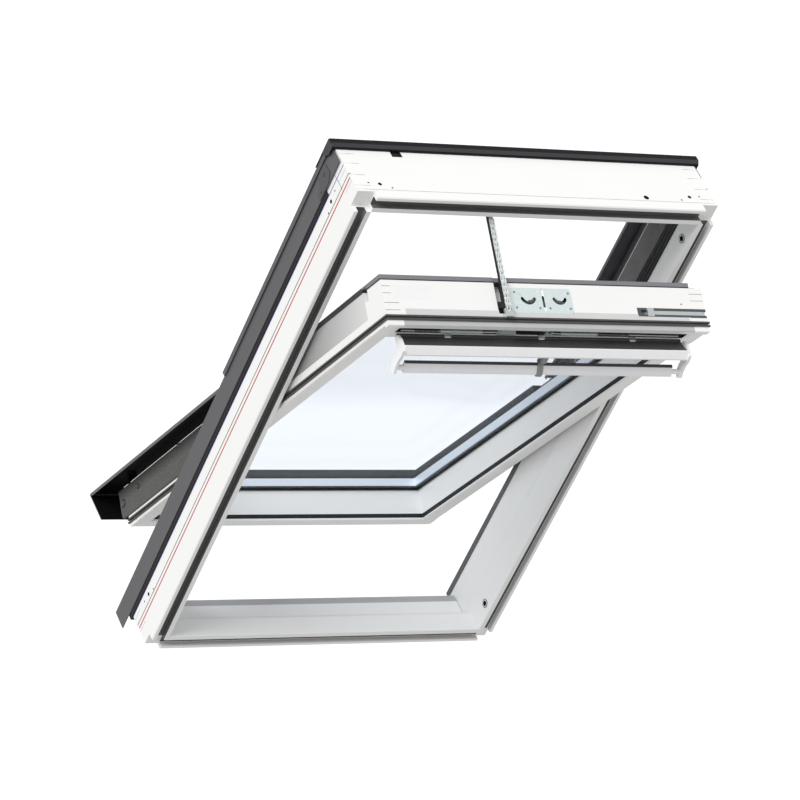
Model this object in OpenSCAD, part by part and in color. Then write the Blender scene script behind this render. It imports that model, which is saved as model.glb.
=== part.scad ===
// Centre-pivot roof window with electric chain operator, shown part open.
// X runs along the head, Y points outward through the roof, Z runs up the slope.
// The origin is the middle of the sill's end face. All sizes are in millimetres.

/* [Overall] */
// Outside width of the frame
frame_w = 780; // [550:10:1340]
// Outside height of the frame, measured up the slope
frame_h = 1180; // [900:10:1600]
// Depth of the frame timber
frame_d = 130; // [124:1:138]
// Opening angle of the sash as stored, in degrees
open_angle = 24.9; // [0:0.1:45]

/* [Frame timber] */
// Thickness of a frame member
member_t = 36; // [35:0.5:44]
// Depth of the stepped nose on the room side
nose_d = 16.2; // [14:0.1:20]
// Distance from the head corners at which the nose ends
nose_end_head = 34.7; // [29:0.1:34.9]
// Distance from the sill corners at which the nose ends
nose_end_sill = 27.1; // [26:0.1:34.9]
// Width of the strip outside the lining groove
groove_in = 8; // [5:0.5:9]
// Width of the lining groove
groove_w = 17.5; // [12:0.5:18]
// Depth of the lining groove
groove_d = 12; // [8:0.5:13]
// Outward depth of the low sill member
sill_d = 102; // [90:1:108]
// Height of the sill's outer floor
sill_floor = 12; // [8:0.5:16]
// Depth of the finger joint lines
joint_cut = 0.8; // [0.4:0.1:1.5]

/* [Fixing and cable holes] */
// Diameter of the large bracket holes
bracket_hole = 8; // [6:0.5:10]
// Diameter of the small bracket holes
bracket_pilot = 4; // [3:0.5:5]
// Depth of the blind bracket holes
bracket_depth = 14; // [8:1:16]
// How much shallower the second large hole of each pair is
bracket_step = 1; // [0.5:0.5:2]
// Diameter of the cable hole in the head
cable_hole_d = 11; // [8:0.5:14]
// Distance of the cable hole from the middle of the head
cable_hole_x = 235; // [150:1:240]
// Distance of the barrel bolt bushes from the frame's ends
bush_end = 90; // [80:1:120]
// Bore of the barrel bolt bushes
bush_bore = 11; // [9:0.5:12]
// Outside diameter of the barrel bolt bushes
bush_od = 16; // [14.5:0.5:17]

/* [Sash] */
// Gap between the sash and the frame at each side
side_gap = 7; // [7:0.5:9]
// Gap between the sash and the frame at the head
end_gap = 12; // [12:0.5:20]
// Distance of the sash's room face from the frame's room face
sash_face = 44; // [40:1:50]
// Distance of the sash timber's outer face from the frame's room face
sash_back = 128; // [124:1:129]
// Thickness of the side and bottom members of the sash
sash_t = 32; // [30:1:36]
// Height of the sash's top member
sash_head_t = 64; // [60:1:80]
// Distance of the pivot axis from the frame's room face
pivot_y = 150; // [148:1:152]
// Diameter of the pivot pins
pivot_pin = 10; // [8:0.5:12]
// Radial running clearance round the pivot pins
pivot_clear = 0.05; // [0.02:0.01:0.1]
// Clear length of side left free of covers each way from the pivot
pivot_free = 16; // [16:1:24]

// Travel of the barrel bolt
bolt_throw = 12; // [8:0.5:12]

/* [Glazing] */
// Thickness of each pane
pane_t = 4; // [3:0.5:6]
// Space between the panes
cavity = 16; // [12:1:16]
// Depth of the glazing rebate
rebate_d = 20; // [18:1:22]
// How far the glass reaches into the rebate
glass_edge = 12; // [10:1:14]
// Width of the spacer bar between the panes
spacer_w = 22; // [14:1:24]

/* [Covers] */
// Sheet thickness of the aluminium covers
sheet_t = 1.6; // [1.2:0.1:2]
// Outer level of the covers above the frame's room face
cover_y = 150; // [149:0.5:152]
// Outer level of the frame's own side cladding
clad_y = 142; // [139:0.5:142.5]
// Projection of the side cladding past the frame's flank
clad_out = 4; // [3:0.5:5]
// Length of cladding below the frame's lower end
clad_drop = 45; // [30:1:60]
// Length by which the sash's bottom cover passes the sash's end
cover_drop = 101.8; // [95:0.1:110]

/* [Vent flap and control bar] */
// Gap between each end of the vent flap and the side of the sash
flap_gap = 9; // [8.5:0.5:12]
// Angle of the vent flap as stored, in degrees from the room face
flap_tilt = 31.6; // [20:0.1:40]
// How far each end of the control bar stays inside the vent flap's
bar_inset = 16; // [12:1:24]

/* [Operator] */
// Distance of the chain from the window's centre line
chain_x = 95; // [80:1:120]
// Length of chain between its end fitting and the operator
chain_out = 221; // [150:1:226]
// Number of links in that length
chain_links = 20; // [12:1:24]

/* [Hidden] */
$fn = 32;
eps = 0.01;
w2 = frame_w / 2;
open_x = w2 - member_t;
step = 1.5;
sash_x = open_x - side_gap;
pivot_z = frame_h / 2;
sash_z = pivot_z - member_t - end_gap;
glass_y = sash_back - rebate_d;
in_x = sash_x - sash_t;
in_lo = -sash_z + sash_t;
in_hi = sash_z - sash_head_t;
unit_t = 2 * pane_t + cavity;
unit_y = glass_y + 2;
cover_lo = -sash_z - cover_drop;
// Lengths of the vent flap and the control bar
flap_w = 2 * (in_x - flap_gap);
bar_w = flap_w - 2 * bar_inset;
// Middle line of the lock, beside the chain
lock_x = 95 - chain_x;

// ---- shared moves and shapes ----

// Puts shapes drawn from the frame's room face into the row frame.
module in_row() {
  translate([0, -frame_d / 2, 0]) children();
}

// Puts shapes drawn on the closed sash, measured from the pivot, in the stored pose.
module on_sash() {
  in_row() translate([0, pivot_y, pivot_z]) rotate([open_angle, 0, 0])
    translate([0, -pivot_y, 0]) children();
}

// Extrudes a (y, z) outline along X.
module along_x(x0, x1) {
  translate([x0, 0, 0]) rotate([90, 0, 90]) linear_extrude(x1 - x0) children();
}

// Extrudes an (x, y) outline along Z.
module along_z(z0, z1) {
  translate([0, 0, z0]) linear_extrude(z1 - z0) children();
}

module box(lo, hi) {
  translate(lo) cube(hi - lo);
}

// A rod along X.
module rod_x(x0, x1, r, y, z) {
  translate([x0, y, z]) rotate([0, 90, 0]) cylinder(h = x1 - x0, r = r);
}

module flip(side) {
  if (side < 0) mirror([1, 0, 0]) children();
  else children();
}

module both() {
  children();
  mirror([1, 0, 0]) children();
}

// ---- frame timber ----

// Seats of the level lines and the membrane seal, cut along both flanks.
seal_y = 63;
red_y = 54;
blue_y = 88;
red_w = 3.2;
blue_w = 2.4;
line_cut = 1;
seal_cut = 5;

module flank_cuts() {
  both() {
    box([w2 - seal_cut, seal_y - 1, -1], [w2 + 1, seal_y + 1, frame_h + 1]);
    box([w2 - line_cut, red_y - red_w / 2, -1], [w2 + 1, red_y + red_w / 2, frame_h + 1]);
    box([w2 - line_cut, blue_y - blue_w / 2, -1], [w2 + 1, blue_y + blue_w / 2, frame_h + 1]);
  }
}

module blind_x(y, z, d, depth = bracket_depth) {
  rod_x(w2 - depth, w2 + 1, d / 2, y, z);
}

module flank_holes() {
  both() {
    blind_x(78, frame_h - 55, bracket_pilot);
    blind_x(75, frame_h - 78, bracket_hole);
    blind_x(66.5, frame_h - 99, bracket_pilot);
    blind_x(67, 101, bracket_pilot);
    blind_x(74, 79, bracket_hole, bracket_depth - bracket_step);
    blind_x(76, 56, bracket_pilot);
  }
}

module blind_z(x, y, d, depth = bracket_depth) {
  translate([x, y, frame_h - depth]) cylinder(h = depth + 1, r = d / 2);
}

module head_holes() {
  both() {
    blind_z(w2 - 31.5, 39.9, bracket_pilot);
    blind_z(w2 - 76.7, 28.2, bracket_pilot);
  }
  blind_z(54.5 - w2, 37.5, bracket_hole);
  blind_z(w2 - 54.5, 37.5, bracket_hole, bracket_depth - bracket_step);
}

// Shoulder lines of the finger joints, on the head and on the flanks.
module joint_lines() {
  both() {
    for (y = [32.3, 60.9, 91.7, 117.6])
      box([w2 - 33, y - 0.4, frame_h - joint_cut], [w2 + 1, y + 0.4, frame_h + 1]);
    for (y = [46, 78, 104])
      box([w2 - joint_cut, y - 0.4, frame_h - 33], [w2 + 1, y + 0.4, frame_h + 1]);
    for (y = [46, 78, 104])
      box([w2 - joint_cut, y - 0.4, -1], [w2 + 1, y + 0.4, 33]);
  }
}

lip_in = groove_in + groove_w;

// Outline of a side member's nose, u inward from the flank.
module nose_outline() {
  polygon([[w2, 1.5], [w2 - 1.5, 0], [w2 - groove_in, 0], [w2 - groove_in, groove_d],
    [w2 - lip_in, groove_d], [w2 - lip_in, 0], [open_x + 1, 0], [open_x, 1],
    [open_x, nose_d], [w2, nose_d]]);
}

module bush_holes() {
  for (z = [bush_end, frame_h - bush_end])
    rod_x(open_x - 1, open_x + 17, bush_od / 2, 22, z);
}

module post_right() {
  difference() {
    along_z(0, frame_h - member_t) polygon([[w2, nose_d], [open_x, nose_d],
      [open_x, 60], [open_x + step, 71], [open_x + step, frame_d], [w2, frame_d]]);
    flank_cuts();
    flank_holes();
    joint_lines();
    bush_holes();
  }
}

// The room edge of a side member, with the lining groove.
module room_edge_side() {
  difference() {
    along_z(nose_end_sill, frame_h - nose_end_head) nose_outline();
    bush_holes();
  }
}

module room_edge_right() {
  color("white") in_row() room_edge_side();
}

module room_edge_left() {
  color("white") in_row() flip(-1) room_edge_side();
}

module frame_right() {
  color("white") in_row() post_right();
}

module frame_left() {
  color("white") in_row() flip(-1) post_right();
}

// Operator pocket in the head, open to the inside.
pocket_lo = -chain_x - 75;
pocket_hi = cable_hole_x + 11;
pocket_top = frame_h - 9;

module frame_top() {
  color("white") in_row() difference() {
    along_x(-w2, w2) polygon([[nose_d, frame_h], [nose_d, frame_h - member_t],
      [60, frame_h - member_t], [71, frame_h - member_t + step],
      [frame_d, frame_h - member_t + step], [frame_d, frame_h]]);
    both() box([open_x, nose_d, frame_h - member_t - 1],
      [w2 + 1, frame_d + 1, frame_h - member_t]);
    both() box([open_x, 60, frame_h - member_t - 1],
      [w2 + 1, frame_d + 1, frame_h - member_t + step]);
    box([-w2 - 1, 21.4, frame_h - joint_cut], [w2 - 4, 22.2, frame_h + 1]);
    box([-w2 + 112, 114.5, frame_h - 6], [-w2 + 134, frame_d + 1, frame_h + 1]);
    flank_cuts();
    joint_lines();
    head_holes();
    translate([cable_hole_x, 31, frame_h - member_t + 4])
      cylinder(h = member_t, r = cable_hole_d / 2);
    box([pocket_lo, 24, frame_h - member_t - 1], [pocket_hi, 112, pocket_top]);
  }
  color("white") in_row() both() box([open_x, 60, frame_h - member_t],
    [w2 - seal_cut, frame_d, frame_h - member_t + step]);
}

module room_edge_top() {
  color("white") in_row() difference() {
    along_x(-w2 + nose_end_head, w2 - nose_end_head) polygon([
      [0, frame_h - 2], [2, frame_h], [nose_d, frame_h], [nose_d, frame_h - member_t],
      [1, frame_h - member_t], [0, frame_h - member_t + 1], [0, frame_h - lip_in],
      [groove_d, frame_h - lip_in], [groove_d, frame_h - groove_in],
      [0, frame_h - groove_in]]);
    both() box([open_x, -1, frame_h - member_t - 1],
      [w2, nose_d + 1, frame_h - nose_end_head]);
  }
}

module frame_bottom() {
  color("white") in_row() along_x(-open_x, open_x) polygon([[nose_d, 0], [nose_d, member_t],
    [44, member_t], [54, member_t - 6], [54, sill_floor + 10], [62, sill_floor],
    [sill_d, sill_floor], [sill_d, 0]]);
}

module room_edge_bottom() {
  color("white") in_row() difference() {
    along_x(-w2 + nose_end_sill, w2 - nose_end_sill) polygon([
      [0, 2], [2, 0], [nose_d, 0], [nose_d, member_t], [1, member_t],
      [0, member_t - 1], [0, lip_in], [groove_d, lip_in], [groove_d, groove_in],
      [0, groove_in]]);
    both() box([open_x, -1, nose_end_sill], [w2, nose_d + 1, member_t + 1]);
  }
}

module bushes() {
  color("white") in_row() both() for (z = [bush_end, frame_h - bush_end]) difference() {
    union() {
      rod_x(open_x, open_x + 17, bush_od / 2, 22, z);
      rod_x(open_x - 0.8, open_x, bush_od / 2 + 1, 22, z);
    }
    rod_x(open_x - 2, open_x + 15, bush_bore / 2, 22, z);
  }
}

module level_line_red() {
  color("red") in_row() both()
    box([w2 - line_cut, red_y - red_w / 2, 4], [w2, red_y + red_w / 2, frame_h - 3]);
}

module level_line_blue() {
  color("blue") in_row() both()
    box([w2 - line_cut, blue_y - blue_w / 2, 4], [w2, blue_y + blue_w / 2, frame_h - 3]);
}

module membrane_seals() {
  color([0.05, 0.05, 0.06]) in_row() both()
    box([w2 - seal_cut, seal_y - 1, 0], [w2 - 0.6, seal_y + 1, frame_h - joint_cut]);
}

// Black strips closing the gap between the flanks and the cladding.
module flank_strips() {
  color([0.05, 0.05, 0.06]) in_row() both() {
    along_z(0, frame_h - 74) polygon([[w2, 88], [w2 + 2, 89.5], [w2 + clad_out - sheet_t, 89.5],
      [w2 + clad_out - sheet_t, 104], [w2, 104]]);
    box([w2 - 12, 88, -9], [w2 + clad_out - sheet_t, 104, 0]);
  }
}

// Room for the thrown barrel bolt beside the closed sash.
module bolt_way() {
  box([sash_x, 72, pivot_z + sash_z - 7],
    [max(sash_x + bolt_throw - 3, open_x + step + 1), 82.4, pivot_z + sash_z + 1]);
}

module frame_gaskets() {
  color([0.06, 0.06, 0.06]) in_row() both() difference() {
    along_z(pivot_z + pivot_free, frame_h - member_t - 3) polygon([
      [open_x, 50], [open_x - 2.6, 51], [open_x - 2.6, 57], [open_x - 1.2, 58.4],
      [open_x - 2.6, 59.8], [open_x - 2.6, 66], [open_x - 1.2, 67.4],
      [open_x - 2.6, 68.8], [open_x - 2.6, 75], [open_x + step, 76],
      [open_x + step, 71], [open_x, 60]]);
    bolt_way();
  }
}

// ---- rails on the inner faces ----

module rail_upper() {
  difference() {
    along_z(pivot_z + 72, frame_h - member_t - 8) polygon([
      [open_x + step, 77], [open_x - 2, 77], [open_x - 2.8, 78], [open_x - 2.8, 96],
      [open_x - 2, 108], [open_x - 2.8, 123], [open_x - 2, 124], [open_x + step, 124]]);
    for (z = [pivot_z + 120, pivot_z + 300, frame_h - 110])
      rod_x(open_x - 4, open_x - 1.4, 3, 92, z);
    bolt_way();
  }
}

module rail_upper_right() {
  color([0.3, 0.3, 0.3]) in_row() rail_upper();
}

module rail_upper_left() {
  color([0.3, 0.3, 0.3]) in_row() flip(-1) rail_upper();
}

// ---- frame covers ----

module frame_top_cover() {
  color([0.28, 0.29, 0.31]) in_row() {
    along_x(-w2 - 9, w2 + 9) polygon([[sash_back, frame_h], [frame_d + 0.2, frame_h],
      [frame_d + 0.2, frame_h + 2], [135.6, frame_h + 8.4], [146, frame_h + 8.4],
      [cover_y - sheet_t, frame_h + 5], [cover_y - sheet_t, frame_h - 62],
      [cover_y, frame_h - 62], [cover_y, frame_h + 6], [146.5, frame_h + 10],
      [134.8, frame_h + 10], [sash_back, frame_h + 3]]);
    both() difference() {
      along_x(w2 + 9 - sheet_t, w2 + 9) polygon([[sash_back, frame_h + 3],
        [sash_back, frame_h - 12], [138, frame_h - 26], [cover_y, frame_h - 26],
        [cover_y, frame_h + 6], [146.5, frame_h + 10], [134.8, frame_h + 10]]);
    }
  }
}

module cladding() {
  face = w2 + clad_out;
  top_in = open_x + step;
  along_z(-7, frame_h - 2) polygon([[face, 98], [face, clad_y], [open_x, clad_y],
    [open_x, frame_d], [top_in, frame_d], [top_in, clad_y - sheet_t],
    [face - sheet_t, clad_y - sheet_t], [face - sheet_t, 98]]);
  along_z(-clad_drop, -7) polygon([[face, 99], [face, clad_y], [w2 - 14, clad_y],
    [w2 - 14, clad_y - sheet_t], [face - sheet_t, clad_y - sheet_t], [face - sheet_t, 99]]);
}

module cladding_right() {
  color([0.28, 0.29, 0.31]) in_row() cladding();
}

module cladding_left() {
  color([0.28, 0.29, 0.31]) in_row() flip(-1) cladding();
}

module side_cover() {
  lip = open_x - 32;
  top = cover_y - sheet_t - 0.1;
  along_z(pivot_z + pivot_free, frame_h - 26.5) polygon([
    [lip, clad_y], [lip, top], [w2 + 7, top], [w2 + 7, clad_y - 4],
    [w2 + 7 - sheet_t, clad_y - 4], [w2 + 7 - sheet_t, top - sheet_t],
    [open_x + 7, top - sheet_t], [open_x + 7, clad_y], [open_x + 5, clad_y],
    [open_x + 5, top - sheet_t], [lip + sheet_t, top - sheet_t], [lip + sheet_t, clad_y]]);
}

module side_cover_right() {
  color([0.24, 0.25, 0.27]) in_row() side_cover();
}

module side_cover_left() {
  color([0.24, 0.25, 0.27]) in_row() flip(-1) side_cover();
}

module frame_bottom_cover() {
  color([0.28, 0.29, 0.31]) in_row()
    along_x(-open_x + 0.5, open_x - 0.5) polygon([[sill_d, sill_floor], [sill_d + 16, sill_floor],
      [sill_d + 16, -8], [sill_d - 14, -8], [sill_d - 14, -8 + sheet_t],
      [sill_d + 16 - sheet_t, -8 + sheet_t], [sill_d + 16 - sheet_t, sill_floor - sheet_t],
      [sill_d, sill_floor - sheet_t]]);
}

// Screwed clips that hold the side cladding near the head.
module cover_clips() {
  color([0.45, 0.45, 0.47]) in_row() both() {
    difference() {
      along_x(w2 + clad_out, w2 + clad_out + 1.4) polygon([[99, frame_h - 98],
        [112, frame_h - 98], [116, frame_h - 84], [132, frame_h - 76],
        [136, frame_h - 70], [136, frame_h - 44], [131, frame_h - 38],
        [110, frame_h - 38], [99, frame_h - 52]]);
      rod_x(w2, w2 + 12, 2, 106, frame_h - 84);
    }
    rod_x(w2 + clad_out, w2 + clad_out + 2.4, 3.6, 123, frame_h - 56);
  }
}

// ---- pivots ----

module hinge_frame() {
  face = open_x - side_gap / 2;
  difference() {
    union() {
      box([face, 80, pivot_z - 90], [open_x + step, 128, pivot_z + 60]);
      box([face, 100, pivot_z - 11], [face + 3, pivot_y, pivot_z + 11]);
      rod_x(face, face + 3, 11, pivot_y, pivot_z);
      rod_x(face - side_gap / 2 - 0.2, face, pivot_pin / 2, pivot_y, pivot_z);
    }
    box([open_x, 128, pivot_z - 92], [open_x + 3, pivot_y, pivot_z + 62]);
  }
}

module hinge_frame_right() {
  color([0.7, 0.72, 0.74]) in_row() hinge_frame();
}

module hinge_frame_left() {
  color([0.7, 0.72, 0.74]) in_row() flip(-1) hinge_frame();
}

module hinge_sash() {
  difference() {
    union() {
      box([sash_x, 80, -60], [sash_x + 2.8, 127, 90]);
      box([sash_x, 100, -11], [sash_x + 2.8, pivot_y, 11]);
      rod_x(sash_x, sash_x + 2.8, 11, pivot_y, 0);
    }
    rod_x(sash_x - 1, sash_x + 4, pivot_pin / 2 + pivot_clear, pivot_y, 0);
  }
}

module hinge_sash_right() {
  color([0.7, 0.72, 0.74]) on_sash() hinge_sash();
}

module hinge_sash_left() {
  color([0.7, 0.72, 0.74]) on_sash() flip(-1) hinge_sash();
}

// ---- operator in the head ----

housing_lo = pocket_lo + 6;
housing_hi = 120;
slot_y = 39;
inner_z = frame_h - member_t;
drive_z = inner_z + 13.5;

module operator_housing() {
  color([0.2, 0.2, 0.21]) in_row() difference() {
    box([housing_lo, 28, inner_z + 3], [housing_hi, 108, pocket_top]);
    box([housing_lo + 3, 31, inner_z + 2], [housing_hi - 3, 105, pocket_top - 3]);
  }
}

module operator_cover() {
  color([0.92, 0.92, 0.9]) in_row() difference() {
    box([pocket_lo, 24, inner_z + 0.4], [pocket_hi, 60, inner_z + 3]);
    box([-chain_x - 6.4, slot_y - 14, inner_z - 1], [-chain_x + 6.4, slot_y + 14, inner_z + 4]);
  }
  color([0.92, 0.92, 0.9]) in_row()
    box([pocket_lo, 60, inner_z + step + 0.4], [pocket_hi, 112, inner_z + 3]);
}

module operator_motor() {
  color([0.6, 0.6, 0.62]) in_row() {
    rod_x(lock_x - 70, 60, 10, 84, drive_z);
    rod_x(60, housing_hi - 3, 4, 84, drive_z);
    box([-60, 92, inner_z + 4], [-52, 105, inner_z + 22]);
    box([40, 92, inner_z + 4], [48, 105, inner_z + 22]);
  }
}

module chain_sprocket() {
  color([0.6, 0.6, 0.62]) in_row() {
    translate([-chain_x - 4, 84, drive_z]) rotate([0, 90, 0]) linear_extrude(8)
      union() {
        circle(r = 8);
        for (a = [0:45:315]) rotate(a) translate([8, 0]) circle(r = 1.8, $fn = 16);
      }
    rod_x(-chain_x - 8, lock_x - 70 - 0.3, 3, 84, drive_z);
  }
}

// The chain leaves the head square to the opened sash, just clear of its end.
chain_z = sash_z + 8.5;
chain_end = 64;

module chain() {
  pitch = chain_out / chain_links;
  color([0.75, 0.77, 0.78]) on_sash() {
    for (i = [0:chain_links - 1]) {
      y0 = chain_end + 6 + i * pitch;
      odd = i % 2;
      for (s = [-1, 1]) {
        x0 = -chain_x + s * (odd == 1 ? 3 : 4.8) - 0.8;
        box([x0, y0 - 2, chain_z - 5], [x0 + 1.6, y0 + pitch + 2, chain_z + 5]);
      }
      rod_x(-chain_x - 6, -chain_x + 6, 1.6, y0, chain_z);
    }
    rod_x(-chain_x - 6, -chain_x + 6, 1.6, chain_end + 6 + chain_out, chain_z);
  }
}

module chain_hook() {
  color([0.7, 0.72, 0.74]) on_sash() difference() {
    union() {
      box([-chain_x - 7.4, chain_end - 6, chain_z - 3.5],
        [-chain_x + 7.4, chain_end + 3.5, chain_z + 4.2]);
      box([-chain_x - 7.4, chain_end, chain_z - 3.4], [-chain_x - 6, chain_end + 10, chain_z + 4.2]);
      box([-chain_x + 6, chain_end, chain_z - 3.4], [-chain_x + 7.4, chain_end + 10, chain_z + 4.2]);
    }
    rod_x(-chain_x - 8, -chain_x + 8, 1.2, chain_end - 2, chain_z + 1);
  }
}

// ---- sash timber ----

band_lo = 50.6;
band_hi = 60.4;
band_cut = 4;
glass_top = in_hi + glass_edge;
glass_low = in_lo - glass_edge;
glass_x = in_x + glass_edge;

module sash_post() {
  top = sash_z - sash_head_t;
  along_z(-sash_z + sash_t, top) polygon([[sash_x - 1.5, sash_face],
    [sash_x, sash_face + 1.5], [sash_x, band_lo], [sash_x - band_cut, band_lo],
    [sash_x - band_cut, band_hi], [sash_x, band_hi], [sash_x, sash_back],
    [glass_x + 2, sash_back], [glass_x + 2, glass_y], [in_x, glass_y], [in_x, 57],
    [in_x + 3, 57], [in_x + 3, 48], [in_x, 48], [in_x, sash_face + 2],
    [in_x + 2, sash_face]]);
}

module sash_right() {
  color("white") on_sash() sash_post();
}

module sash_left() {
  color("white") on_sash() flip(-1) sash_post();
}

// The gasket groove carried round the ends of the sash.
module side_band() {
  both() box([sash_x - band_cut, band_lo, -sash_z - 1], [sash_x + 1, band_hi, sash_z + 1]);
}

duct_x = in_x - 4;
duct_lo = in_hi + 22;
duct_hi = sash_z - 12;

module sash_top() {
  color("white") on_sash() difference() {
    union() {
      along_x(-sash_x, sash_x) polygon([[sash_face - 4, sash_z - 1.5],
        [sash_face - 2.5, sash_z], [band_lo, sash_z], [band_lo, sash_z - band_cut],
        [band_hi, sash_z - band_cut], [band_hi, sash_z], [sash_back, sash_z],
        [sash_back, glass_top + 2], [glass_y, glass_top + 2], [glass_y, in_hi],
        [sash_face, in_hi], [sash_face, duct_lo], [sash_face, duct_hi],
        [sash_face - 4, duct_hi]]);
      along_x(-in_x + 13, in_x - 6) polygon([[band_hi, sash_z - 1], [73, sash_z - 1],
        [73, sash_z], [71.5, sash_z + 1.4], [band_hi, sash_z + 1.4]]);
    }
    side_band();
    box([-duct_x, sash_face - 5, duct_lo], [duct_x, 96, duct_hi]);
    box([-chain_x - 15, 67, duct_hi - 8], [-chain_x + 7, sash_back + 1, sash_z + 2]);
    both() for (y = [70, 84, 102.5, 116])
      box([sash_x - 31, y - 0.4, sash_z - joint_cut], [sash_x + 1, y + 0.4, sash_z + 3]);
    box([bolt_lo, 68, sash_z - 7], [sash_x + 1, 86, sash_z + 3]);
    rod_hole(sash_x - 52.4, 95.2);
    box([label_lo, label_y, sash_z - 0.4], [label_lo + label_w, label_y + label_h, sash_z + 1]);
    box([plate_lo + 14, 82, sash_z - 6], [plate_hi - 10, 104, sash_z + 1]);
    box([plate_lo, 69.9, sash_z], [plate_hi, 74, sash_z + 2]);
  }
}

module rod_hole(x, y) {
  translate([x, y, sash_z - 8]) cylinder(h = 10, r = 1.6);
}

module sash_bottom() {
  color("white") on_sash() difference() {
    along_x(-sash_x, sash_x) polygon([[sash_face, -sash_z + 1.5],
      [sash_face + 1.5, -sash_z], [band_lo, -sash_z], [band_lo, -sash_z + band_cut],
      [band_hi, -sash_z + band_cut], [band_hi, -sash_z], [sash_back, -sash_z],
      [sash_back, glass_low - 2], [glass_y, glass_low - 2], [glass_y, in_lo],
      [57, in_lo], [57, in_lo - 3], [48, in_lo - 3], [48, in_lo], [sash_face, in_lo]]);
    side_band();
  }
}

module sash_gasket() {
  lip = 2.4;
  color([0.06, 0.06, 0.06]) on_sash() difference() {
    box([-sash_x - lip, band_lo, -sash_z - lip], [sash_x + lip, band_hi, sash_z + lip]);
    box([-sash_x + band_cut, band_lo - 1, -sash_z + band_cut],
      [sash_x - band_cut, band_hi + 1, sash_z - band_cut]);
    difference() {
      box([-sash_x - 9, 54, -sash_z - 9], [sash_x + 9, 57, sash_z + 9]);
      box([-sash_x + 0.4, 53, -sash_z + 0.4], [sash_x - 0.4, 58, sash_z - 0.4]);
    }
  }
}

module inner_gasket() {
  color([0.1, 0.1, 0.1]) on_sash() {
    both() box([in_x + 0.4, 48, in_lo], [in_x + 3, 57, in_hi]);
    box([-in_x, 48, in_lo - 3], [in_x, 57, in_lo - 0.4]);
  }
}

// ---- glazing ----

module pane(y0) {
  box([-glass_x, y0, glass_low], [glass_x, y0 + pane_t, glass_top]);
}

module pane_inner() {
  color([0.8, 0.9, 0.95, 0.4]) on_sash() pane(unit_y);
}

module pane_outer() {
  color([0.8, 0.9, 0.95, 0.4]) on_sash() pane(unit_y + pane_t + cavity);
}

module glass_spacer() {
  color([0.7, 0.76, 0.8]) on_sash() difference() {
    box([-glass_x + 2, unit_y + pane_t, glass_low + 2],
      [glass_x - 2, unit_y + pane_t + cavity, glass_top - 2]);
    box([-glass_x + 2 + spacer_w, unit_y, glass_low + 2 + spacer_w],
      [glass_x - 2 - spacer_w, unit_y + unit_t, glass_top - 2 - spacer_w]);
  }
}

module glazing_gasket() {
  color([0.05, 0.05, 0.06]) on_sash() difference() {
    box([-glass_x, glass_y, glass_low], [glass_x, unit_y, glass_top]);
    box([-in_x + 4, glass_y - 1, in_lo + 4], [in_x - 4, unit_y + 1, in_hi - 4]);
  }
}

// ---- sash covers ----

strip_y = sash_back + 10;
glass_out = unit_y + unit_t;

module sash_top_cover() {
  color([0.45, 0.45, 0.47]) on_sash() difference() {
    along_x(-sash_x - 1, sash_x - 28) polygon([[sash_back, sash_z + 0.5],
      [strip_y, sash_z + 0.5], [strip_y, in_hi - 2], [glass_out, in_hi - 2],
      [glass_out, glass_top + 2.5], [sash_back, glass_top + 2.5]]);
    box([-chain_x - 15, sash_back - 1, sash_z - 2], [-chain_x + 7, strip_y + 1, sash_z + 2]);
  }
}

module strip_outline() {
  polygon([[glass_x + 2.5, sash_back], [sash_x + 1, sash_back], [sash_x + 1, strip_y],
    [in_x - 3, strip_y], [in_x - 3, glass_out], [glass_x + 2.5, glass_out]]);
}

module sash_side_strips() {
  color([0.12, 0.12, 0.13]) on_sash() {
    both() along_z(pivot_free, in_hi - 2.5) strip_outline();
    along_z(in_hi - 3, glass_top + 2.5) polygon([[sash_x - 27.5, glass_out],
      [glass_x + 2.5, glass_out], [glass_x + 2.5, sash_back], [sash_x + 1, sash_back],
      [sash_x + 1, strip_y], [sash_x - 27.5, strip_y]]);
    box([sash_x - 27.5, sash_back, glass_top + 2.4], [sash_x + 1, strip_y, sash_z - 22]);
  }
}

module sash_cover() {
  over = sash_x + 25.5;
  along_z(in_lo + 10.5, -pivot_free) polygon([
    [in_x - 3, glass_out], [in_x - 3, cover_y], [over, cover_y], [over, cover_y - 6.5],
    [over - sheet_t, cover_y - 6.5], [over - sheet_t, cover_y - sheet_t],
    [sash_x - 10, cover_y - sheet_t], [sash_x - 10, sash_back],
    [sash_x - 12, sash_back], [sash_x - 12, cover_y - sheet_t],
    [in_x - 3 + sheet_t, cover_y - sheet_t], [in_x - 3 + sheet_t, glass_out]]);
}

module sash_cover_right() {
  color([0.28, 0.29, 0.31]) on_sash() sash_cover();
}

module sash_cover_left() {
  color([0.28, 0.29, 0.31]) on_sash() flip(-1) sash_cover();
}

module sash_bottom_cover() {
  over = sash_x + 25.5;
  hi = in_lo + 10;
  color([0.28, 0.29, 0.31]) on_sash() {
    along_x(-over, over) polygon([[cover_y, hi], [cover_y, cover_lo + 3],
      [cover_y - 3, cover_lo], [84, cover_lo + 30.8], [84, cover_lo + 32.6],
      [cover_y - 3.6, cover_lo + 2.2], [cover_y - sheet_t, cover_lo + 4],
      [cover_y - sheet_t, hi]]);
    both() box([over - sheet_t, cover_y - 6.5, cover_lo + 6], [over, cover_y - sheet_t + eps, hi]);
    box([-in_x + 4, glass_out, hi - sheet_t], [in_x - 4, cover_y - sheet_t + eps, hi]);
    box([-sash_x + 8, sash_back, -sash_z + 6], [sash_x - 8, cover_y - sheet_t + eps, -sash_z + 8]);
  }
}

// ---- sash rails ----

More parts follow.
